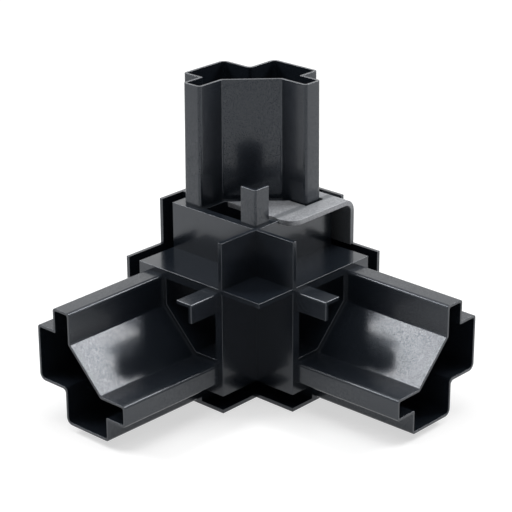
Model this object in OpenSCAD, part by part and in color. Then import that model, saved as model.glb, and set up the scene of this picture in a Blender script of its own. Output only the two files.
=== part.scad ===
// Three-way corner connector for square frame profiles: one moulded body with
// three hollow arms, and a steel angle slid into the seat beside the vertical arm.
// Origin at the outer corner; arms point along +X, +Y and +Z; millimetres.

/* [Hub] */
// Width of the collar that each profile butts against, from the outer corner
collar_w = 60; // [56:0.5:66]
// Distance from the outer corner to the shoulder where each profile stops
shoulder = 82; // [76:0.5:100]
// Thickness of the three outer plates
plate_t = 1.9; // [1.2:0.1:2.4]
// Distance from an outer face to the side of the collar behind the recess
collar_side = 8.4; // [6:0.1:9.4]
// Thickness of the collar walls round each arm
collar_wall = 4.2; // [3:0.1:5]
// Width of the ledge left beside an arm inside its collar
collar_ledge = 1.6; // [1:0.1:2.5]
// Thickness of the free fins between the collars
fin_t = 2.2; // [1.6:0.1:3]
// Thickness of the floors and webs inside the hub
web_t = 2; // [1.5:0.1:3]

/* [Arms] */
// Distance from the outer corner to the open end of each arm
arm_end = 139.5; // [110:0.5:180]
// Gap between the outer face and the nearest side of an arm
arm_gap = 2.9; // [2.4:0.1:4]
// Distance from the collar face to the far side of an arm
arm_setback = 2.6; // [2:0.1:3.5]
// Width of the rebate along the outer edge of each arm
edge_rebate = 19.6; // [15:0.1:22]
// Distance from the outer face to the step beside each lobe
body_w = 46.6; // [44:0.1:50]
// Near side of each lobe
lobe_near = 13.3; // [12:0.1:15]
// Far side of each lobe
lobe_far = 23.75; // [22:0.25:28]
// Start of the chamfer between the two lobes
chamfer_at = 42.75; // [38:0.25:46]
// Wall thickness of the arms
arm_wall = 1.2; // [0.9:0.1:2]
// Inward taper of each side over the free length of an arm
arm_draft = 0.35; // [0:0.05:1]

/* [Corner tabs] */
// Length of each tab beyond the shoulder
tab_len = 17.5; // [8:0.5:25]
// Width of each leg of a tab
tab_w = 9; // [6:0.5:12]
// Thickness of a tab
tab_t = 1.8; // [1.2:0.1:2]
// Distance from the collar face to the outer face of a tab
tab_inset = 1.8; // [1:0.1:2.4]
// Radius of the outer corner of a tab
tab_round = 1; // [0.4:0.1:1.6]

/* [Steel angle] */
// Thickness of the steel
steel_t = 2.5; // [2:0.1:3]
// Width of the top leg, from the outer plate to its free edge
steel_w = 42.5; // [36:0.5:46]
// How far the angle stands out in front of the collar
steel_reach = 8; // [4:0.5:12]
// Height of the top face above the shoulder
steel_rise = 1; // [0.2:0.1:1.6]
// Inner radius of the bend
steel_bend = 3.5; // [2:0.5:5]
// Radius of the free front corner
steel_corner = 6; // [3:0.5:8]
// Clearance between the steel and the lobe that it is forked round
steel_gap = 0.8; // [0.4:0.1:1]
// Gap between the slanted end of the steel and the chamfer of the arm
steel_end_gap = 4.5; // [1:0.5:6]
// Play between the steel and the outer plate
steel_play = 0.1; // [0.05:0.05:0.3]
// Width of the pressed groove across the top leg
groove_w = 5; // [3:0.2:6]
// Depth of the pressed groove
groove_d = 0.3; // [0.2:0.1:0.6]

/* [Hidden] */
$fn = 48;
black = [0.09, 0.10, 0.11];
steel = [0.62, 0.63, 0.65];
eps = 0.5;

arm_far = collar_w - arm_setback;
arm_mid = collar_w / 2;
arm_len = arm_end - shoulder;
tip_scale = 1 - 2 * arm_draft / collar_w;
chamfer_sum = lobe_far + chamfer_at;
core_floor = edge_rebate + web_t;
deep_floor = collar_side + web_t;

steel_x0 = plate_t + steel_play;
steel_x1 = steel_x0 + steel_w;
steel_y0 = body_w + steel_gap;
steel_y1 = collar_w + steel_reach;
steel_z0 = collar_w + 0.5;
steel_z1 = shoulder + steel_rise;
groove_r = (groove_w * groove_w / 4 + groove_d * groove_d) / (2 * groove_d);

// The thirteen-cornered arm outline, each corner as [x, y, rounding radius].
// in is the distance by which the outline is drawn inside the outer wall.
function arm_corners(in) =
    let (lo = arm_gap + in, hi = arm_far - in, m = edge_rebate + in, k = body_w - in,
         n = lobe_near + in, g = lobe_far - in, h = chamfer_sum - in * sqrt(2) - g,
         big = 3.3 - in, mid = 1.6 - in / 2, small = 0.6)
    [[k, lo, mid], [k, n, small], [hi, n, mid], [hi, g, mid], [h, g, small],
     [g, h, small], [g, hi, mid], [n, hi, mid], [n, k, small], [lo, k, mid],
     [lo, m, big], [m, m, 1.8], [m, lo, big]];

function unit(v) = v / norm(v);
function xy(p) = [p[0], p[1]];

// Points of the arc that rounds corner b between its neighbours a and c.
function corner_arc(a, b, c, r, steps = 4) =
    let (u = unit(a - b), v = unit(c - b), half = acos(u * v) / 2,
         centre = b + unit(u + v) * r / sin(half),
         start = b + u * r / tan(half) - centre,
         turn = sign(u[0] * v[1] - u[1] * v[0]) * (180 - 2 * half))
    [for (i = [0 : steps]) let (t = -turn * i / steps)
        centre + [start[0] * cos(t) - start[1] * sin(t), start[0] * sin(t) + start[1] * cos(t)]];

function rounded(corners) =
    let (n = len(corners))
    [for (i = [0 : n - 1])
        each corner_arc(xy(corners[(i + n - 1) % n]), xy(corners[i]), xy(corners[(i + 1) % n]),
                        corners[i][2])];

module arm_outline(in = 0) {
    polygon(rounded(arm_corners(in)));
}

// Turns what is drawn round the +Z arm onto the +X and the +Y arm as well.
module on_each_arm() {
    children();
    rotate([90, 0, 90]) children();
    rotate([0, -90, -90]) children();
}

// Block between two opposite corners.
module block(from, to) {
    translate(from) cube(to - from);
}

// Tapered free length of an arm, above the shoulder.
module tapered(in, length) {
    translate([arm_mid, arm_mid, shoulder])
        linear_extrude(length, scale = 1 - (1 - tip_scale) * length / arm_len)
            translate([-arm_mid, -arm_mid]) arm_outline(in);
}

// Open corner between the two lobes, inside the collar.
module lobe_corner() {
    near = lobe_far + collar_ledge;
    far = collar_w - collar_wall;
    slant = chamfer_sum + collar_ledge * sqrt(2);
    polygon([[near, slant - near], [slant - near, near], [far, near], [far, far], [near, far]]);
}

// Recess between an outer plate and the collars, seen from the stepped corner.
module recess() {
    for (far = [[collar_w, shoulder], [shoulder, collar_w]])
        block([body_w, body_w, plate_t], [far[0] + eps, far[1] + eps, collar_side]);
}

// L-shaped tab standing on the collar's corner, where two fins cross.
module corner_tab() {
    face = collar_w - tab_inset;
    inner = face - tab_t;
    free = face - tab_w;
    translate([0, 0, shoulder - eps]) linear_extrude(tab_len + eps)
        polygon(concat([[free, face], [free, inner], [inner, inner], [inner, free]],
                       [[face, free]],
                       corner_arc([face, free], [face, face], [free, face], tab_round)));
}

// Plan of the steel angle, forked round the lobe and slanted beside the chamfer.
module steel_plan() {
    r = steel_corner;
    near = lobe_near - steel_gap;
    far = lobe_far + steel_gap;
    slot_end = arm_far + steel_gap;
    slant = chamfer_sum + steel_end_gap * sqrt(2);
    polygon(concat(
        [[steel_x0, steel_y0], [near, steel_y0], [near, slot_end], [far, slot_end],
         [far, slant - far], [steel_x1, slant - steel_x1]],
        [for (a = [0 : 15 : 90]) [steel_x1 - r + r * cos(a), steel_y1 - r + r * sin(a)]],
        [[steel_x0, steel_y1]]));
}

// Bent strip seen along Y: the top leg, the bend and the leg in the recess.
module steel_section() {
    r = steel_bend + steel_t;
    difference() {
        union() {
            translate([steel_x0 + r, steel_z1 - r]) circle(r);
            translate([steel_x0, steel_z0]) square([r, steel_z1 - r - steel_z0]);
            translate([steel_x0 + r, steel_z1 - r]) square([steel_w - r, r]);
        }
        translate([steel_x0 + r, steel_z1 - r]) circle(steel_bend);
        translate([steel_x0 + steel_t, steel_z0 - eps])
            square([steel_w, steel_z1 - r - steel_z0 + eps]);
        translate([steel_x0 + r, steel_z0 - eps])
            square([steel_w, steel_z1 - steel_t - steel_z0 + eps]);
    }
}

// Seat that lets the steel angle into the top of the collar.
module steel_seat() {
    block([plate_t, body_w, steel_z1 - steel_t],
          [steel_x1 + steel_gap / 2, collar_w + eps, shoulder + eps]);
}

// Hub block with arms and free fins, before it is cored.
module solid_form() {
    difference() {
        on_each_arm() cube([collar_w, collar_w, shoulder]);
        steel_seat();
    }
    on_each_arm() {
        translate([0, 0, collar_w]) linear_extrude(shoulder - collar_w) arm_outline();
        tapered(0, arm_len);
        block([collar_w - fin_t, collar_w - eps, collar_w - eps], [collar_w, shoulder, shoulder]);
    }
}

// What is cored out of one arm, its collar and the hub beside it.
module arm_coring() {
    floor_z = collar_w + web_t;
    recess();
    tapered(arm_wall, arm_len + eps);
    translate([0, 0, floor_z]) linear_extrude(shoulder - floor_z) arm_outline(arm_wall);
    translate([0, 0, floor_z]) linear_extrude(shoulder - floor_z + eps) lobe_corner();
    block([plate_t, plate_t, core_floor], [edge_rebate, edge_rebate, shoulder + arm_gap]);
}

// The vertical arm is cored right down into the hub, so the hub has no thick places.
module deep_coring() {
    far = arm_far - arm_wall;
    translate([0, 0, core_floor]) linear_extrude(collar_w) arm_outline(arm_wall);
    translate([0, 0, core_floor]) linear_extrude(collar_w) lobe_corner();
    block([core_floor, core_floor, deep_floor], [far, far, core_floor + eps]);
    block([plate_t, plate_t, plate_t], [edge_rebate, edge_rebate, core_floor + eps]);
}

module corner_moulding() {
    color(black) {
        difference() {
            solid_form();
            on_each_arm() arm_coring();
            deep_coring();
        }
        on_each_arm() corner_tab();
    }
}

module steel_angle() {
    color(steel) difference() {
        intersection() {
            translate([0, steel_y1, 0]) rotate([90, 0, 0])
                linear_extrude(steel_y1 - lobe_far) steel_section();
            translate([0, 0, steel_z0]) linear_extrude(steel_z1 - steel_z0) steel_plan();
        }
        translate([steel_x0 + steel_t + steel_bend, collar_w, steel_z1 - groove_d + groove_r])
            rotate([0, 90, 0]) cylinder(h = steel_w, r = groove_r);
    }
}

corner_moulding();
steel_angle();
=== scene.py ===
# %% [markdown]
# # A three-way corner connector for frame profiles
# The object is a moulded corner of glass-filled nylon with three hollow arms, and a bent steel
# angle that sits beside the upright arm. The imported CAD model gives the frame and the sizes.
# This file models both pieces again with softened edges, gives them their finish, and lights them.

# %% Load the measured frame
import math

import bmesh
import bpy
from mathutils import Matrix, Vector


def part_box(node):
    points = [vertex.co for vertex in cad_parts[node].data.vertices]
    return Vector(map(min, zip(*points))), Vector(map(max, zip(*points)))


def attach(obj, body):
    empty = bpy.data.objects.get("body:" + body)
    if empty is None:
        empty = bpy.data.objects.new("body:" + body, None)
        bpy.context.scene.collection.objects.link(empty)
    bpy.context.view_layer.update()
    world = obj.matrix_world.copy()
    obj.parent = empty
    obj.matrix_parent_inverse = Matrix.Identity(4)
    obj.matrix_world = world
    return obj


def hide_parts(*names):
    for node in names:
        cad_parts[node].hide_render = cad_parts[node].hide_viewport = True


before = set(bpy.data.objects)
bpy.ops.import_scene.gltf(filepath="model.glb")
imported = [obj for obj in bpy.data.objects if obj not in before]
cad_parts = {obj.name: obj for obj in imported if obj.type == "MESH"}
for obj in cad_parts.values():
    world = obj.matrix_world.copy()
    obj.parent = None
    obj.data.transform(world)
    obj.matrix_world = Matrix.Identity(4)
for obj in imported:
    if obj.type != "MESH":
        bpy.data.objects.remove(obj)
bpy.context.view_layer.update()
moulding_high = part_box("corner_moulding")[1]
steel_low, steel_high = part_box("steel_angle")
MM = 1000  # millimetres in a metre


def shown(values):
    """Metres as rounded millimetres, for printing."""
    return [round(v * MM, 2) for v in values]


print("moulding reaches", shown(moulding_high), "mm")
print("steel angle from", shown(steel_low), "to", shown(steel_high), "mm")

# %% [markdown]
# ## Helpers
# Blender works in metres and the drawing is in millimetres, so `mm` turns one into the other.
# Operators act on what is selected, so `only` clears the selection before it selects.
# Faces of two solids that share a plane must agree to the last digit before a Boolean joins
# them, so `snap` rounds the points of each new piece.

# %% Units and selection
SNAP_DIGITS = 7


def mm(*values):
    """Millimetres as metres: a number for one value, a vector for three."""
    return values[0] / MM if len(values) == 1 else Vector(values) / MM


def only(*pieces):
    """Selects these objects and nothing else; the last one becomes active."""
    bpy.ops.object.select_all(action="DESELECT")
    for piece in pieces:
        piece.select_set(True)
    bpy.context.view_layer.objects.active = pieces[-1]


def snap(piece):
    """Rounds every point to a ten-thousandth of a millimetre."""
    for vertex in piece.data.vertices:
        vertex.co = [round(v, SNAP_DIGITS) for v in vertex.co]


def named_piece(name):
    """Names the primitive that was just added and applies its place and scale to its mesh."""
    piece = bpy.context.active_object
    piece.name = piece.data.name = name
    only(piece)
    bpy.ops.object.transform_apply(location=True, rotation=True, scale=True)
    snap(piece)
    return piece


print("one millimetre is", mm(1), "m")

# %% [markdown]
# With no window there is no mouse, so points, edges and faces are picked in code, by a rule on
# their place. Most of the hub is made of boxes between two corners of the drawing.

# %% Picking by place, and boxes


def middle(item):
    """Middle of a vertex, edge or face, in millimetres."""
    points = [item] if hasattr(item, "co") else item.verts
    return sum((v.co for v in points), Vector()) * MM / len(points)


def choose(kind, rule):
    """In edit mode, selects just the vertices, edges or faces that a rule picks."""
    mesh = bmesh.from_edit_mesh(bpy.context.edit_object.data)
    bpy.ops.mesh.select_mode(type=kind)
    bpy.ops.mesh.select_all(action="DESELECT")
    items = {"VERT": mesh.verts, "EDGE": mesh.edges, "FACE": mesh.faces}[kind]
    picked = [item for item in items if rule(item)]
    for item in picked:
        item.select = True
    mesh.select_flush_mode()
    bmesh.update_edit_mesh(bpy.context.edit_object.data)
    return len(picked)


def block(name, low, high):
    """A box between two corners, used to build up or cut away the hub."""
    low, high = Vector(low), Vector(high)
    bpy.ops.mesh.primitive_cube_add(size=1, location=mm(*(low + high) / 2), scale=mm(*(high - low)))
    return named_piece(name)


# %% [markdown]
# The three arms are the same shape, turned round the diagonal from the outer corner.
# Swapping the axes in a cycle (x, y, z becomes z, x, y) is a true turn and not a mirror image,
# so a copy keeps its faces pointing outwards.

# %% Turn a piece onto all three arms
TURNS = {
    "x": Matrix(((0, 0, 1, 0), (1, 0, 0, 0), (0, 1, 0, 0), (0, 0, 0, 1))),
    "y": Matrix(((0, 1, 0, 0), (0, 0, 1, 0), (1, 0, 0, 0), (0, 0, 0, 1))),
}


def on_each_arm(piece):
    """Keeps a piece made for the upright arm and adds copies for the two level arms."""
    copies = [piece]
    for axis, turn in TURNS.items():
        copy = piece.copy()
        copy.data = piece.data.copy()
        copy.data.transform(turn)
        copy.name = copy.data.name = f"{piece.name}_{axis}"
        bpy.context.scene.collection.objects.link(copy)
        copies.append(copy)
    print(piece.name, "is made for", len(copies), "arms")
    return copies


def combine(body, others, how):
    """Joins solids to a body, or cuts them out of it, with one Boolean modifier."""
    shelf = bpy.data.collections.new(f"{how.lower()} parts")
    bpy.context.scene.collection.children.link(shelf)
    for other in others:
        shelf.objects.link(other)
    boolean = body.modifiers.new(how.lower(), "BOOLEAN")
    boolean.operation = how
    boolean.operand_type = "COLLECTION"
    boolean.collection = shelf
    boolean.solver = "EXACT"
    only(body)
    bpy.ops.object.modifier_apply(modifier=boolean.name)
    for other in others:
        bpy.data.objects.remove(other, do_unlink=True)
    bpy.data.collections.remove(shelf)
    print(how.lower(), "gives", len(body.data.polygons), "faces")


# %% [markdown]
# ## Sizes
# The driving sizes are those of the drawing. The reach of the arms is read from the frame,
# so the dressed piece can't outgrow the solid. `SPARE` is how far a cutting block reaches
# past the face that it cuts, and `CLOSE` is the distance at which two places are the same.

# %% Sizes of the moulding, in millimetres
COLLAR_W = 60.0
SHOULDER = 82.0
PLATE_T = 1.9
COLLAR_SIDE = 8.4
COLLAR_WALL = 4.2
COLLAR_LEDGE = 1.6
FIN_T = 2.2
WEB_T = 2.0
ARM_END = moulding_high[2] * MM
ARM_GAP = 2.9
EDGE_REBATE = 19.6
BODY_W = 46.6
LOBE_NEAR = 13.3
LOBE_FAR = 23.75
CHAMFER_AT = 42.75
ARM_WALL = 1.2
ARM_DRAFT = 0.35
ARM_SETBACK = 2.6
ARM_FAR = COLLAR_W - ARM_SETBACK
ARM_MID = COLLAR_W / 2
CORE_FLOOR = EDGE_REBATE + WEB_T
DEEP_FLOOR = COLLAR_SIDE + WEB_T
SPARE = 0.5
CLOSE = 0.01
FLAT = math.radians(0.1)
print("collar", COLLAR_W, "shoulder", SHOULDER, "arm end", round(ARM_END, 2), "mm")

# %% [markdown]
# ## The arm's outline
# Each arm is a tube whose section follows the chambers of the profile: a square with a rebate
# at its outer corner, two side notches, and a chamfer between two lobes. By hand, one would
# start from a square sheet, score it along the lines of the drawing, throw away the corners,
# and round what is left. That is what the next cells do, with bisect, delete, dissolve and a
# vertex bevel. Drawing it again a wall's thickness further in gives the hollow.

# %% The lines of the outline


def outline_lines(inset):
    """Where the section's lines run when it is drawn this far inside the outer wall."""
    return {
        "low": ARM_GAP + inset,
        "high": ARM_FAR - inset,
        "rebate": EDGE_REBATE + inset,
        "body": BODY_W - inset,
        "near": LOBE_NEAR + inset,
        "far": LOBE_FAR - inset,
        "slant": LOBE_FAR + CHAMFER_AT - inset * math.sqrt(2),
    }


def is_waste(face, at):
    """True for a scored field that lies outside the arm's section."""
    u, v, _ = middle(face)
    rebate = u < at["rebate"] and v < at["rebate"]
    notches = (u > at["body"] and v < at["near"]) or (v > at["body"] and u < at["near"])
    chamfer = u > at["far"] and v > at["far"] and u + v > at["slant"]
    return rebate or notches or chamfer


print("outline:", {name: round(place, 2) for name, place in outline_lines(0).items()})

# %% [markdown]
# The corners of the section are rounded while it is still a flat sheet, by bevelling points.
# The same rule finds a corner and its mirror image across the section's diagonal.

# %% Round chosen corners
ROUND_STEPS = 6


def is_corner(item, *places):
    """True for a vertex or an upright edge at one of these places or their mirror images."""
    u, v, _ = middle(item)
    return any(
        math.dist((u, v), (a, b)) < CLOSE or math.dist((u, v), (b, a)) < CLOSE for a, b in places
    )


def round_corners(radius, *places):
    """Rounds the chosen corners of the sheet; the places are in millimetres."""
    choose("VERT", lambda vertex: is_corner(vertex, *places))
    bpy.ops.mesh.bevel(
        offset=mm(radius),
        offset_type="OFFSET",
        segments=ROUND_STEPS,
        affect="VERTICES",
        clamp_overlap=False,
    )


# %% [markdown]
# The sheet is scored right across by each line of the drawing, so it falls into small fields.
# Whole fields are then thrown away, which leaves straight, clean edges.

# %% Score, trim and round a sheet
ROUND_REBATE = 3.3
ROUND_REBATE_INSIDE = 1.8
ROUND_LOBE = 1.6
ROUND_NOTCH = 0.6


def arm_sheet(name, inset, level):
    """A flat sheet with the arm's outline, at a level above the outer corner."""
    at = outline_lines(inset)
    bpy.ops.mesh.primitive_plane_add(
        size=mm(at["high"] - at["low"]), location=mm(ARM_MID, ARM_MID, level)
    )
    shift = (at["high"] + at["low"]) / 2 - ARM_MID
    bpy.context.active_object.location += mm(shift, shift, 0)
    sheet = named_piece(name)
    bpy.ops.object.mode_set(mode="EDIT")
    for line in ("rebate", "body", "near", "far"):
        for direction in ((1, 0, 0), (0, 1, 0)):
            bpy.ops.mesh.select_all(action="SELECT")
            bpy.ops.mesh.bisect(plane_co=mm(at[line], at[line], level), plane_no=direction)
    bpy.ops.mesh.select_all(action="SELECT")
    bpy.ops.mesh.bisect(
        plane_co=mm(at["slant"] / 2, at["slant"] / 2, level), plane_no=(1, 1, 0)
    )
    choose("FACE", lambda face: is_waste(face, at))
    bpy.ops.mesh.delete(type="FACE")
    bpy.ops.mesh.select_all(action="SELECT")
    bpy.ops.mesh.dissolve_limited(angle_limit=FLAT)
    round_corners(ROUND_REBATE - inset, (at["low"], at["rebate"]))
    round_corners(
        ROUND_LOBE - inset / 2,
        (at["low"], at["body"]),
        (at["near"], at["high"]),
        (at["far"], at["high"]),
    )
    round_corners(ROUND_REBATE_INSIDE, (at["rebate"], at["rebate"]))
    round_corners(
        ROUND_NOTCH, (at["near"], at["body"]), (at["far"], at["slant"] - at["far"])
    )
    return sheet


# %% [markdown]
# An arm leans in by a third of a millimetre on each side towards its open end, so that it
# starts easily in the profile and leaves its mould. So the sheet is pulled up twice: straight
# as far as the shoulder, then on to the open end, where it is drawn in a little.

# %% Pull the outline up into an arm


def arm_form(name, inset, foot, tip):
    """A closed prism on the arm's outline: straight up to the shoulder, then tapered."""
    form = arm_sheet(name, inset, foot)
    straight = min(tip, SHOULDER)
    bpy.ops.mesh.select_all(action="SELECT")
    bpy.ops.mesh.extrude_region_move(
        TRANSFORM_OT_translate={"value": mm(0, 0, straight - foot)}
    )
    if tip > SHOULDER:
        draw_in = 1 - 2 * ARM_DRAFT / COLLAR_W * (tip - SHOULDER) / (ARM_END - SHOULDER)
        bpy.ops.mesh.extrude_region_move(
            TRANSFORM_OT_translate={"value": mm(0, 0, tip - SHOULDER)}
        )
        bpy.ops.transform.resize(
            value=(draw_in, draw_in, 1), center_override=mm(ARM_MID, ARM_MID, tip)
        )
    bpy.ops.mesh.select_all(action="SELECT")
    bpy.ops.mesh.normals_make_consistent(inside=False)
    bpy.ops.object.mode_set(mode="OBJECT")
    snap(form)
    print(name, "stands from", round(foot, 2), "to", round(tip, 2), "mm")
    return form


arm = arm_form("arm", 0, COLLAR_W, ARM_END)
print("arm:", len(arm.data.vertices), "points,", shown(arm.dimensions), "mm")

# %% [markdown]
# ## The hub
# Three overlapping blocks give the stepped outer plates by themselves: each face of their sum
# is a square with one corner missing. The steel angle needs a seat, which is cut while the
# blocks are still alone, so that it stops at the arm that is joined on afterwards.

# %% Build up the hub, the fins and the arms
STEEL_T = 2.5
SEAT_PLAY = 0.4
SEAT_FLOOR = steel_high[2] * MM - STEEL_T
SEAT_SIDE = steel_high[0] * MM + SEAT_PLAY

moulding = block("moulding", (0, 0, 0), (COLLAR_W, COLLAR_W, SHOULDER))
hub_blocks = on_each_arm(block("hub", (0, 0, 0), (COLLAR_W, COLLAR_W, SHOULDER)))
combine(moulding, hub_blocks, "UNION")
seat = block(
    "seat", (PLATE_T, BODY_W, SEAT_FLOOR), (SEAT_SIDE, COLLAR_W + SPARE, SHOULDER + SPARE)
)
combine(moulding, [seat], "DIFFERENCE")
free_fin = block(
    "free_fin",
    (COLLAR_W - FIN_T, COLLAR_W - SPARE, COLLAR_W - SPARE),
    (COLLAR_W, SHOULDER, SHOULDER),
)
combine(moulding, on_each_arm(free_fin) + on_each_arm(arm), "UNION")

# %% [markdown]
# Everything hollow is cut in one go: the arms' chambers, the open corner between the two lobes,
# the pocket along each outer edge, and the recess between the outer plates and the collars.
# The upright arm's cores run on down into the hub, as a mould would have them, because a solid
# block of nylon that thick would sink as it cooled.

# %% The open corner between two lobes


def lobe_corner(name, floor, roof):
    """The space inside the collar that is left open between the arm's two lobes."""
    near, far = LOBE_FAR + COLLAR_LEDGE, COLLAR_W - COLLAR_WALL
    space = block(name, (near, near, floor), (far, far, roof))
    slant = (LOBE_FAR + CHAMFER_AT + COLLAR_LEDGE * math.sqrt(2)) / 2
    bpy.ops.object.mode_set(mode="EDIT")
    bpy.ops.mesh.select_all(action="SELECT")
    bpy.ops.mesh.bisect(
        plane_co=mm(slant, slant, floor), plane_no=(1, 1, 0), use_fill=True, clear_inner=True
    )
    bpy.ops.object.mode_set(mode="OBJECT")
    snap(space)
    return space


# %% Core the hub and the arms
FLOOR = COLLAR_W + WEB_T
ROOF = SHOULDER + SPARE
cores = on_each_arm(arm_form("chamber", ARM_WALL, FLOOR, ARM_END + SPARE))
cores += on_each_arm(lobe_corner("open_corner", FLOOR, ROOF))
cores += on_each_arm(
    block(
        "edge_pocket",
        (PLATE_T, PLATE_T, CORE_FLOOR),
        (EDGE_REBATE, EDGE_REBATE, SHOULDER + ARM_GAP),
    )
)
for far in ((COLLAR_W, SHOULDER), (SHOULDER, COLLAR_W)):
    cores += on_each_arm(
        block(
            "recess",
            (BODY_W, BODY_W, PLATE_T),
            (far[0] + SPARE, far[1] + SPARE, COLLAR_SIDE),
        )
    )
cores.append(arm_form("deep_chamber", ARM_WALL, CORE_FLOOR, FLOOR + SPARE))
cores.append(lobe_corner("deep_corner", CORE_FLOOR, FLOOR + SPARE))
CORE_FAR = ARM_FAR - ARM_WALL
cores.append(
    block(
        "deep_core", (CORE_FLOOR, CORE_FLOOR, DEEP_FLOOR), (CORE_FAR, CORE_FAR, CORE_FLOOR + SPARE)
    )
)
cores.append(
    block(
        "corner_core", (PLATE_T, PLATE_T, PLATE_T), (EDGE_REBATE, EDGE_REBATE, CORE_FLOOR + SPARE)
    )
)
combine(moulding, cores, "DIFFERENCE")

# %% [markdown]
# ## The corner tabs
# Beside each arm an L-shaped tab stands on the corner of the collar and guides the profile.
# It is a square post with its inside cut away. The one edge that faces the profile's inner
# radius is rounded first, with an edge bevel on the plain post.

# %% Stand a tab on each collar
TAB_LEN = 17.5
TAB_W = 9.0
TAB_T = 1.8
TAB_INSET = 1.8
TAB_ROUND = 1.0

face = COLLAR_W - TAB_INSET
base, top = SHOULDER - SPARE, SHOULDER + TAB_LEN
tab = block("tab", (face - TAB_W, face - TAB_W, base), (face, face, top))
bpy.ops.object.mode_set(mode="EDIT")
choose("EDGE", lambda edge: is_corner(edge, (face, face)))
bpy.ops.mesh.bevel(offset=mm(TAB_ROUND), segments=ROUND_STEPS, affect="EDGES")
bpy.ops.object.mode_set(mode="OBJECT")
snap(tab)
inside = block(
    "tab_inside",
    (face - TAB_W - SPARE, face - TAB_W - SPARE, base - SPARE),
    (face - TAB_T, face - TAB_T, top + SPARE),
)
combine(tab, [inside], "DIFFERENCE")
combine(moulding, on_each_arm(tab), "UNION")

# %% [markdown]
# ## One clean mesh
# A Boolean leaves doubled points and needless edges inside flat faces, and another run may
# leave them in another order. So doubles are merged, points, edges and faces are sorted by
# their place, and the edges inside flat faces are dissolved. That is done twice, because the
# first pass can leave a point in the middle of a straight edge.

# %% Clean the mesh
ORDER = Vector((1.0, 1.71, 2.93))  # a slant on which the three arms lie at different places
ORDER_DIGITS = 4


def put_in_order(mesh):
    """Sorts points, edges and faces by their place, so that every run gives the same mesh."""
    for items in (mesh.verts, mesh.edges, mesh.faces):
        items.sort(key=lambda item: round(middle(item).dot(ORDER), ORDER_DIGITS))
        items.index_update()


def clean(piece):
    """Merges doubles and dissolves the edges that a Boolean leaves inside flat faces."""
    only(piece)
    bpy.ops.object.mode_set(mode="EDIT")
    bpy.ops.mesh.select_all(action="SELECT")
    bpy.ops.mesh.remove_doubles(threshold=mm(CLOSE / 10))
    for _ in range(2):
        put_in_order(bmesh.from_edit_mesh(piece.data))
        bpy.ops.mesh.select_all(action="SELECT")
        bpy.ops.mesh.dissolve_limited(angle_limit=FLAT)
    bpy.ops.mesh.normals_make_consistent(inside=False)
    mesh = bmesh.from_edit_mesh(piece.data)
    put_in_order(mesh)
    loose = sum(len(edge.link_faces) != 2 for edge in mesh.edges)
    bpy.ops.object.mode_set(mode="OBJECT")
    print(piece.name, "has", len(piece.data.polygons), "faces and", loose, "open edges")


clean(moulding)

# %% [markdown]
# ## Soft edges
# A moulded edge is never sharp. Here the tabs have a radius of 0.4 mm and the other edges
# 0.16 mm, because an arm's wall is only 1.2 mm thick, and that is what catches the light in
# thin bright lines. Inner corners stay crisp, because the tool's own edges form them. So only
# the edges that stick out get a bevel weight, and a Bevel modifier rounds them by that share
# of its width. A Weighted Normal modifier then keeps the large faces flat in the shading.

# %% Round the outer edges
SHARP = math.radians(35)
SOFT_RADIUS = 0.4
SOFT_SHARE = 0.4
SOFT_STEPS = 3


def sticks_out(edge):
    """True for an edge that turns by more than 35 degrees and isn't an inner corner."""
    return edge.is_convex and edge.calc_face_angle(0) > SHARP


def on_tab(edge):
    """True for the edges of a corner tab, which stands alone above its collar."""
    nearest, _, farthest = sorted(middle(edge))
    return farthest > SHOULDER + SPARE and nearest > COLLAR_W - TAB_INSET - TAB_W - SPARE


def soften(piece, radius, share=1.0, full=lambda edge: True):
    """Rounds the edges that stick out: by the radius where full says so, else by a share."""
    only(piece)
    bpy.ops.object.mode_set(mode="EDIT")
    wide = choose("EDGE", lambda edge: sticks_out(edge) and full(edge))
    bpy.ops.transform.edge_bevelweight(value=1)
    narrow = choose("EDGE", lambda edge: sticks_out(edge) and not full(edge))
    bpy.ops.transform.edge_bevelweight(value=share)
    print(piece.name, "rounds", wide, "edges in full and", narrow, "by a share")
    bpy.ops.object.mode_set(mode="OBJECT")
    bevel = piece.modifiers.new("soft edges", "BEVEL")
    bevel.width = mm(radius)
    bevel.segments = SOFT_STEPS
    bevel.limit_method = "WEIGHT"
    bevel.use_clamp_overlap = False
    bpy.ops.object.modifier_apply(modifier=bevel.name)
    bpy.ops.object.shade_smooth_by_angle(angle=SHARP)
    steady = piece.modifiers.new("flat faces", "WEIGHTED_NORMAL")
    steady.keep_sharp = True
    bpy.ops.object.modifier_apply(modifier=steady.name)
    print(piece.name, "softened:", len(piece.data.polygons), "faces")


soften(moulding, SOFT_RADIUS, share=SOFT_SHARE, full=on_tab)

# %% [markdown]
# ## The steel angle
# The steel part starts as a strip, so it is modelled as one: the end face of the strip is
# pulled along for the top leg, spun round for the bend, and pulled down for the leg that
# stands in the recess. Spinning gives a true bend of one thickness, which a rounded block
# wouldn't have.

# %% Bend the strip
STEEL_X0, STRIP_BACK, STEEL_Z0 = (v * MM for v in steel_low)
STEEL_X1, STEEL_Y1, STEEL_Z1 = (v * MM for v in steel_high)
STEEL_BEND = 3.5
BEND_STEPS = 10

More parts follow.
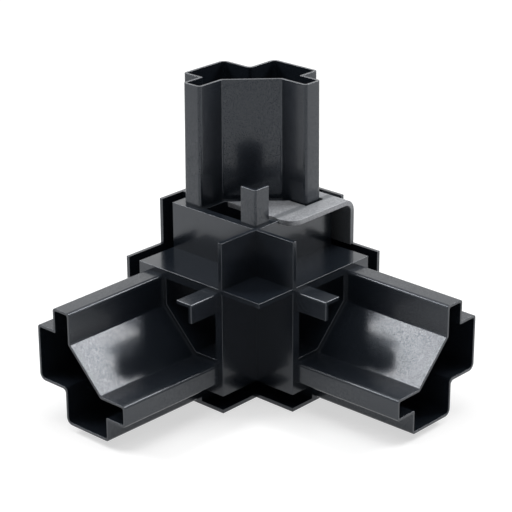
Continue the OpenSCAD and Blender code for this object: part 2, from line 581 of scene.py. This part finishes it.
bend_r = STEEL_BEND + STEEL_T
bend_x, bend_z = STEEL_X0 + bend_r, STEEL_Z1 - bend_r
bpy.ops.mesh.primitive_plane_add(
    size=1,
    location=mm(STEEL_X1, (STRIP_BACK + STEEL_Y1) / 2, STEEL_Z1 - STEEL_T / 2),
    rotation=(0, math.radians(-90), 0),
)
bpy.context.active_object.scale = mm(STEEL_T, STEEL_Y1 - STRIP_BACK, 1)
steel = named_piece("steel")
bpy.ops.object.mode_set(mode="EDIT")
bpy.ops.mesh.select_all(action="SELECT")
bpy.ops.mesh.extrude_region_move(TRANSFORM_OT_translate={"value": mm(bend_x - STEEL_X1, 0, 0)})
bpy.ops.mesh.spin(
    steps=BEND_STEPS, angle=math.radians(90), center=mm(bend_x, 0, bend_z), axis=(0, 1, 0)
)
bpy.ops.mesh.extrude_region_move(TRANSFORM_OT_translate={"value": mm(0, 0, STEEL_Z0 - bend_z)})
bpy.ops.mesh.select_all(action="SELECT")
bpy.ops.mesh.remove_doubles(threshold=mm(CLOSE))
bpy.ops.mesh.normals_make_consistent(inside=False)
bpy.ops.object.mode_set(mode="OBJECT")
snap(steel)
print("strip:", shown(steel.dimensions), "mm")

# %% [markdown]
# The blank is then trimmed: a slot for the lobe, a slanted end beside the chamfer, and one
# rounded corner. A shallow groove is pressed across the top leg. A very large cylinder cuts
# it, so that it is as wide and as shallow as a press would leave it and runs out in the bend.

# %% Trim the blank and press its groove
STEEL_GAP = 0.8
STEEL_END_GAP = 4.5
STEEL_CORNER = 6.0
CORNER_STEPS = 12
STEEL_SOFT = 0.25
GROOVE_W = 5.0
GROOVE_D = 0.3
GROOVE_LEN = 60.0
GROOVE_SIDES = 96

slot_near, slot_far = LOBE_NEAR - STEEL_GAP, LOBE_FAR + STEEL_GAP
slot_end = ARM_FAR + STEEL_GAP
waste = [
    block(
        "slot",
        (slot_near, STRIP_BACK - SPARE, STEEL_Z0 - SPARE),
        (slot_far, slot_end, STEEL_Z1 + SPARE),
    ),
    block(
        "side_end",
        (STEEL_X0 - SPARE, STRIP_BACK - SPARE, STEEL_Z0 - SPARE),
        (slot_near + SPARE, BODY_W + STEEL_GAP, STEEL_Z1 + SPARE),
    ),
]
slanted = block(
    "slanted_end",
    (slot_far - SPARE, STRIP_BACK - SPARE, STEEL_Z0),
    (STEEL_X1 + SPARE, slot_end, STEEL_Z1 + SPARE),
)
slant = (LOBE_FAR + CHAMFER_AT + STEEL_END_GAP * math.sqrt(2)) / 2
bpy.ops.object.mode_set(mode="EDIT")
bpy.ops.mesh.select_all(action="SELECT")
bpy.ops.mesh.bisect(
    plane_co=mm(slant, slant, STEEL_Z0), plane_no=(1, 1, 0), use_fill=True, clear_outer=True
)
bpy.ops.object.mode_set(mode="OBJECT")
snap(slanted)
waste.append(slanted)

groove_r = (GROOVE_W**2 / 4 + GROOVE_D**2) / (2 * GROOVE_D)
bpy.ops.mesh.primitive_cylinder_add(
    vertices=GROOVE_SIDES,
    radius=mm(groove_r),
    depth=mm(GROOVE_LEN),
    location=mm(STEEL_X0 + GROOVE_LEN / 2, COLLAR_W, STEEL_Z1 - GROOVE_D + groove_r),
    rotation=(0, math.radians(90), 0),
)
waste.append(named_piece("groove"))
combine(steel, waste, "DIFFERENCE")
clean(steel)

free_corner = (STEEL_X1, STEEL_Y1, STEEL_Z1 - STEEL_T / 2)
bpy.ops.object.mode_set(mode="EDIT")
choose("EDGE", lambda edge: math.dist(middle(edge), free_corner) < 10 * CLOSE)
bpy.ops.mesh.bevel(
    offset=mm(STEEL_CORNER), segments=CORNER_STEPS, affect="EDGES", clamp_overlap=False
)
bpy.ops.object.mode_set(mode="OBJECT")
soften(steel, STEEL_SOFT)

# %% [markdown]
# ## Shader maths
# A material is a graph of nodes, and arithmetic in it is easier to read as a formula. `Wire`
# wraps a socket, and its operators add Math nodes. Every other node comes from `Finish.node`,
# and `math` and `mix` are short forms of it.

# %% Small classes for sockets and node trees
MIX_COLOUR = 2  # the number of the Mix node's colour output


class Wire:
    """One output socket; + - and * on it add Math nodes."""

    def __init__(self, finish, socket):
        self.finish, self.socket = finish, socket

    def __add__(self, other):
        return self.finish.math("ADD", self, other)

    def __sub__(self, other):
        return self.finish.math("SUBTRACT", self, other)

    def __rsub__(self, other):
        return self.finish.math("SUBTRACT", other, self)

    def __mul__(self, other):
        return self.finish.math("MULTIPLY", self, other)

    __radd__ = __add__
    __rmul__ = __mul__


class Finish:
    """The nodes of a material or of the world, and the methods that add them."""

    def __init__(self, owner):
        owner.use_nodes = True
        self.owner, self.tree = owner, owner.node_tree
        self.tree.nodes.clear()

    def node(self, kind, settings=None, out=0, **inputs):
        """Adds a node, sets its settings, then its sockets; _0 and _1 name sockets by number."""
        made = self.tree.nodes.new(kind)
        for name, value in (settings or {}).items():
            setattr(made, name, value)
        for name, value in inputs.items():
            key = int(name[1:]) if name[1:].isdigit() else name.replace("_", " ")
            socket = made.inputs[key]
            if isinstance(value, Wire):
                self.tree.links.new(value.socket, socket)
            else:
                socket.default_value = value
        return Wire(self, made.outputs[out]) if made.outputs else None

    def math(self, operation, first, second=0.0):
        """Adds a Math node that works on one or two values."""
        return self.node("ShaderNodeMath", {"operation": operation}, _0=first, _1=second)

    def mix(self, amount, first, second):
        """Adds a Mix node that runs from one colour to another."""
        return self.node(
            "ShaderNodeMix", {"data_type": "RGBA"}, out=MIX_COLOUR, _0=amount, _6=first, _7=second
        )

    def show(self, shader, kind="ShaderNodeOutputMaterial"):
        """Links a shader to the output and gives back the finished material or world."""
        self.node(kind, Surface=shader)
        print(self.owner.name, "has", len(self.tree.nodes), "nodes")
        return self.owner


# %% [markdown]
# ## Black nylon
# Glass-filled nylon comes out of the mould nearly black, with a satin skin. Light that hits
# it squarely is swallowed, so what the eye reads is the reflection of the room: the roughness
# matters more than the colour. The skin is two layers, a satin base under a thin coat, and a
# fine grain varies how much coat there is, which gives the sandy sparkle of a spark-eroded
# mould without blurring the reflections. A slow wave in the bump stands for the slight sinking
# of a moulded wall. The mould was polished more round the hub, so the arms are a little rougher.

# %% Mix the nylon
NYLON_DARK, NYLON_PALE = (0.0078, 0.0106, 0.0150, 1), (0.0130, 0.0164, 0.0220, 1)
HUB_ROUGH, ARM_ROUGHER, CLOUD_ROUGHER, GRAIN_ROUGHER = 0.12, 0.08, 0.05, 0.06
HUB_COAT, ARM_LESS_COAT, COAT_GRAIN = 0.46, 0.06, 1.6
GRAIN_BUMP, WAVE_BUMP = 0.00004, 0.00012


def black_nylon():
    """Near-black nylon whose arms are a little rougher than its hub."""
    finish = Finish(bpy.data.materials.new("black_nylon"))
    place = finish.node("ShaderNodeTexCoord", out="Object")
    along_x, along_y, along_z = (
        finish.node("ShaderNodeSeparateXYZ", out=axis, Vector=place) for axis in range(3)
    )
    reach = finish.math("MAXIMUM", finish.math("MAXIMUM", along_x, along_y), along_z)
    on_arm = finish.math("GREATER_THAN", reach, mm(SHOULDER + SPARE))
    grain = finish.node("ShaderNodeTexNoise", Vector=place, Scale=2400.0, Detail=1.0)
    cloud = finish.node("ShaderNodeTexNoise", Vector=place, Scale=60.0, Detail=2.0)
    wave = finish.node("ShaderNodeTexNoise", Vector=place, Scale=90.0, Detail=1.0)
    fine = finish.node("ShaderNodeBump", Strength=1.0, Distance=GRAIN_BUMP, Height=grain)
    skin = finish.node("ShaderNodeBump", Strength=1.0, Distance=WAVE_BUMP, Height=wave, Normal=fine)
    shader = finish.node(
        "ShaderNodeBsdfPrincipled",
        Base_Color=finish.mix(cloud * 0.5 + grain * 0.5, NYLON_DARK, NYLON_PALE),
        Roughness=HUB_ROUGH
        + on_arm * ARM_ROUGHER
        + cloud * CLOUD_ROUGHER
        + grain * GRAIN_ROUGHER,
        IOR=1.45,
        Specular_Tint=(0.80, 0.88, 1.0, 1),
        Coat_Weight=HUB_COAT - on_arm * ARM_LESS_COAT + (grain - 0.5) * COAT_GRAIN,
        Coat_Roughness=0.12,
        Normal=skin,
    )
    return finish.show(shader)


# %% [markdown]
# ## Zinc-plated steel
# The angle is pale grey and almost matt, with a fine sandy grain. The rolled sheet leaves faint
# streaks along its length, so one noise is stretched along Y by scaling the coordinates. Painted
# shade darkens a band along the top leg, beside the pressed groove and in line with the lobe's
# face, and darkens the leg that stands in the recess. `fade` turns a distance or a height into the
# amount of painted shade.

# %% Mix the steel
ZINC_DARK, ZINC_PALE = (0.24, 0.25, 0.27, 1), (0.43, 0.44, 0.46, 1)
PALE_SHARE, BLOOM, STREAK, SAND = 0.17, 0.4, 0.3, 2.8
# painted shade: the dark grey that the zinc is mixed towards where shade falls
PAINTED_SHADE = (0.11, 0.12, 0.13, 1)
# the band and the leg of painted shade: where each lies and how dark it is
SHADE_BAND_Y, LINE_INNER, LINE_OUTER, LINE_AMOUNT = 57.6, 0.7, 2.3, 0.7
LEG_SHADE_START, LEG_SHADE_FULL, LEG_AMOUNT = 1, 8, 0.85


def fade(finish, value, start, end):
    """Runs smoothly from one result to another: start and end are pairs of value and result."""
    (low, at_low), (high, at_high) = start, end
    return finish.node(
        "ShaderNodeMapRange",
        {"interpolation_type": "SMOOTHSTEP"},
        Value=value,
        From_Min=low,
        From_Max=high,
        To_Min=at_low,
        To_Max=at_high,
    )


def dull_steel():
    """Matt zinc with streaks and grain, darkened by painted shade along a band and down the leg."""
    finish = Finish(bpy.data.materials.new("dull_steel"))
    place = finish.node("ShaderNodeTexCoord", out="Object")
    along = finish.node("ShaderNodeMapping", Vector=place, Scale=(1.0, 0.12, 1.0))
    streak = finish.node("ShaderNodeTexNoise", Vector=along, Scale=900.0, Detail=2.0)
    grain = finish.node("ShaderNodeTexNoise", Vector=place, Scale=1500.0, Detail=2.0)
    bloom = finish.node("ShaderNodeTexNoise", Vector=place, Scale=120.0, Detail=3.0)
    across, height = (
        finish.node("ShaderNodeSeparateXYZ", out=axis, Vector=place) for axis in (1, 2)
    )
    # a band of painted shade on the top leg, 57.6 mm along Y, in line with the lobe's face
    off_line = finish.math("ABSOLUTE", across - mm(SHADE_BAND_Y))
    line = fade(finish, off_line, (mm(LINE_INNER), LINE_AMOUNT), (mm(LINE_OUTER), 0.0))
    # painted shade down the leg that stands in the recess: none above 1 mm below the top, full from
    # 8 mm below
    full_shade_z, shade_start_z = mm(STEEL_Z1 - LEG_SHADE_FULL), mm(STEEL_Z1 - LEG_SHADE_START)
    depth = fade(finish, height, (full_shade_z, LEG_AMOUNT), (shade_start_z, 0.0))
    mottle = bloom * BLOOM + streak * STREAK + (grain - 0.5) * SAND + PALE_SHARE
    plating = finish.mix(mottle, ZINC_DARK, ZINC_PALE)
    skin = finish.node("ShaderNodeBump", Strength=0.5, Distance=GRAIN_BUMP, Height=grain)
    # the base colour runs towards the painted shade by the larger of the band and leg masks
    shader = finish.node(
        "ShaderNodeBsdfPrincipled",
        Base_Color=finish.mix(finish.math("MAXIMUM", line, depth), plating, PAINTED_SHADE),
        Metallic=0.3,
        Roughness=0.40 + streak * 0.16,
        Normal=skin,
    )
    return finish.show(shader)


# %% [markdown]
# ## Hand the pieces to the frame
# Each dressed piece rides on the body, stands for its solid, and gets its material. The
# solids stay in the scene, hidden, and here the dressed pieces take their place.

# %% Finish the two pieces


def hand_over(piece, name, node, material):
    """Names a dressed piece, gives it its material and lets it stand for a solid."""
    piece.name = piece.data.name = name
    piece.data.materials.clear()
    piece.data.materials.append(material)
    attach(piece, "root")
    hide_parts(node)
    print(name, "stands for", node, "with", len(piece.data.polygons), "faces")


hand_over(moulding, "nylon_corner", "corner_moulding", black_nylon())
hand_over(steel, "bent_steel_angle", "steel_angle", dull_steel())

# %% [markdown]
# ## The floor
# The part stands on a plain white floor. The floor shows the camera and the reflections a
# clean white, through the Light Path node, while the light that it sends to the part stays at
# a plain level, so the black keeps its depth and the floor keeps its shadow.

# %% Lay the floor
FLOOR_SIZE = 8
FLOOR_DROP = 0.2
FLOOR_GREY = (0.5, 0.5, 0.5, 1)
FLOOR_GLOW = 0.6
WHITE = (1, 1, 1, 1)


def looked_at(finish):
    """1 for rays from the camera, a reflection or clear material; 0 for light on the part."""
    camera, mirror, clear = (
        finish.node("ShaderNodeLightPath", out=f"Is {kind} Ray")
        for kind in ("Camera", "Glossy", "Transmission")
    )
    return finish.math("MAXIMUM", finish.math("MAXIMUM", camera, mirror), clear)


def white_floor():
    """A matt grey floor that glows up to white for the rays that look at it."""
    finish = Finish(bpy.data.materials.new("white_floor"))
    matt = finish.node("ShaderNodeBsdfDiffuse", Color=FLOOR_GREY)
    glow = finish.node("ShaderNodeEmission", Color=WHITE, Strength=FLOOR_GLOW)
    both = finish.node("ShaderNodeAddShader", _0=matt, _1=glow)
    return finish.show(
        finish.node("ShaderNodeMixShader", _0=looked_at(finish), _1=matt, _2=both)
    )


bpy.ops.mesh.primitive_plane_add(size=FLOOR_SIZE, location=mm(0, 0, -FLOOR_DROP))
floor = named_piece("floor")
floor.data.materials.append(white_floor())

# %% [markdown]
# ## The light
# Black plastic is lit by what it reflects. Two soft boxes stand behind the level arms and
# glance off their chamfers, and a third hangs overhead. The world fills in a little, and is
# white for the camera and the reflections, by the same rule as the floor.

# %% Light the room
ROOM_LEVEL = 0.12

world = bpy.data.worlds.new("studio")
bpy.context.scene.world = world
sky = Finish(world)
strength = looked_at(sky) * (1 - ROOM_LEVEL) + ROOM_LEVEL
room = sky.node("ShaderNodeBackground", Color=WHITE, Strength=strength)
sky.show(room, "ShaderNodeOutputWorld")

MIDDLE = Vector((0.05, 0.05, 0.06))
LIGHT_DISTANCE = 1.1
CHAMFER_BOX = {"wide": 0.56, "high": 0.32, "radiance": 12.5}
TOP_BOX = {"wide": 0.8, "high": 0.8, "radiance": 3.2}


def soft_box(name, towards, wide, high, radiance):
    """A soft box, placed in a direction from the part and turned to face it."""
    data = bpy.data.lights.new(name, "AREA")
    data.shape = "RECTANGLE"
    data.size, data.size_y = wide, high
    data.energy = math.pi * wide * high * radiance
    light = bpy.data.objects.new(name, data)
    light.location = MIDDLE + Vector(towards).normalized() * LIGHT_DISTANCE
    light.rotation_euler = (-Vector(towards)).to_track_quat("-Z", "Y").to_euler()
    bpy.context.scene.collection.objects.link(light)
    print(name, round(data.energy, 2), "W")


soft_box("left_box", (0.32, -0.65, 0.68), **CHAMFER_BOX)
soft_box("right_box", (-0.70, 0.31, 0.65), **CHAMFER_BOX)
soft_box("top_box", (0.05, 0.05, 1.0), **TOP_BOX)

# %% [markdown]
# ## The camera
# The camera stands well back with a long lens, 22 degrees above the level and close to the
# plane between the two level arms. Its place was found from the corners seen in the picture.

# %% Place the camera
AZIMUTH, ELEVATION, ROLL = math.radians(42.685), math.radians(22.416), math.radians(0.26)
DISTANCE = mm(877.15)
AIM = mm(45.98, 47.15, 61.85)
FOCAL_PX = 1935.75
PICTURE_PX = 512
SENSOR = 36

data = bpy.data.cameras.new("camera")
camera = bpy.data.objects.new("camera", data)
bpy.context.scene.collection.objects.link(camera)
back = Vector(
    (
        math.cos(ELEVATION) * math.cos(AZIMUTH),
        math.cos(ELEVATION) * math.sin(AZIMUTH),
        math.sin(ELEVATION),
    )
)
camera.location = AIM + back * DISTANCE
turn = (-back).to_track_quat("-Z", "Y").to_matrix() @ Matrix.Rotation(-ROLL, 3, "Z")
camera.rotation_euler = turn.to_euler()
data.sensor_width = SENSOR
data.lens = FOCAL_PX / PICTURE_PX * SENSOR
data.clip_start, data.clip_end = 0.05, 20
bpy.context.scene.camera = camera
bpy.context.scene.view_settings.view_transform = "Standard"
print("camera at", shown(camera.location), "mm with a lens of", round(data.lens, 1), "mm")
